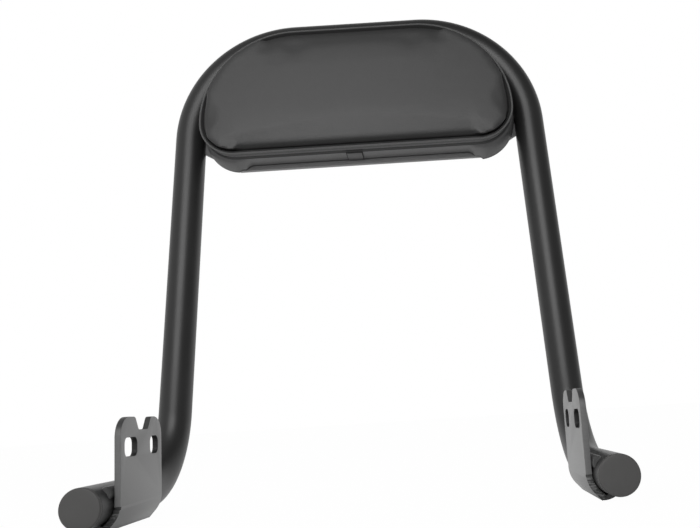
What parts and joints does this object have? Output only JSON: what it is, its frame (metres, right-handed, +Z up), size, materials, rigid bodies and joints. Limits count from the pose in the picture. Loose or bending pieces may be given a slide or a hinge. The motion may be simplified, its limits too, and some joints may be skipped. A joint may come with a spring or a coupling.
{
  "type": "motorcycle backrest",
  "caption": "Bent tube hoop with slotted side mounting plates, plugged tube ends and an upholstered back pad.",
  "frame": {"origin": "midway between the two side plates, at the height and the middle of their bolt slots", "axes": "+Z up, +X towards the seated passenger's left when they face -Y, -Y ahead (the pad's front side)"},
  "size_m": [0.3464, 0.1957, 0.4113],
  "materials": {
    "hoop_coating": "satin black powder coat",
    "plate_coating": "satin grey coat",
    "plug_plastic": "fine matt moulding",
    "cover_vinyl": "fine-grained upholstery vinyl",
    "piping_vinyl": "smooth vinyl piping",
    "foam": "open-cell foam",
    "board_wood": "raw plywood",
    "zinc_steel": "zinc plated"
  },
  "bodies": {
    "root": {"hoop_tube": "hoop_coating", "end_plug_left": "plug_plastic", "end_plug_right": "plug_plastic", "mount_plate_left": "plate_coating", "mount_plate_right": "plate_coating", "groove_weld_left": "hoop_coating", "groove_weld_right": "hoop_coating", "saddle_weld_left": "hoop_coating", "saddle_weld_right": "hoop_coating", "pad_plate": "hoop_coating", "pad_plate_weld_left": "hoop_coating", "pad_plate_weld_right": "hoop_coating", "pad_plate_weld_top": "hoop_coating", "base_board": "board_wood", "foam_core": "foam", "cover_front_panel": "cover_vinyl", "cover_side_band": "cover_vinyl", "cover_rear_band": "cover_vinyl", "seam_piping": "piping_vinyl", "cover_band_tab": "cover_vinyl", "washer_lower_left": "zinc_steel", "washer_lower_right": "zinc_steel", "washer_upper_left": "zinc_steel", "washer_upper_right": "zinc_steel", "pad_bolt_lower_left": "zinc_steel", "pad_bolt_lower_right": "zinc_steel", "pad_bolt_upper_left": "zinc_steel", "pad_bolt_upper_right": "zinc_steel", "tee_nut_lower_left": "zinc_steel", "tee_nut_lower_right": "zinc_steel", "tee_nut_upper_left": "zinc_steel", "tee_nut_upper_right": "zinc_steel"}
  },
  "joints": []
}
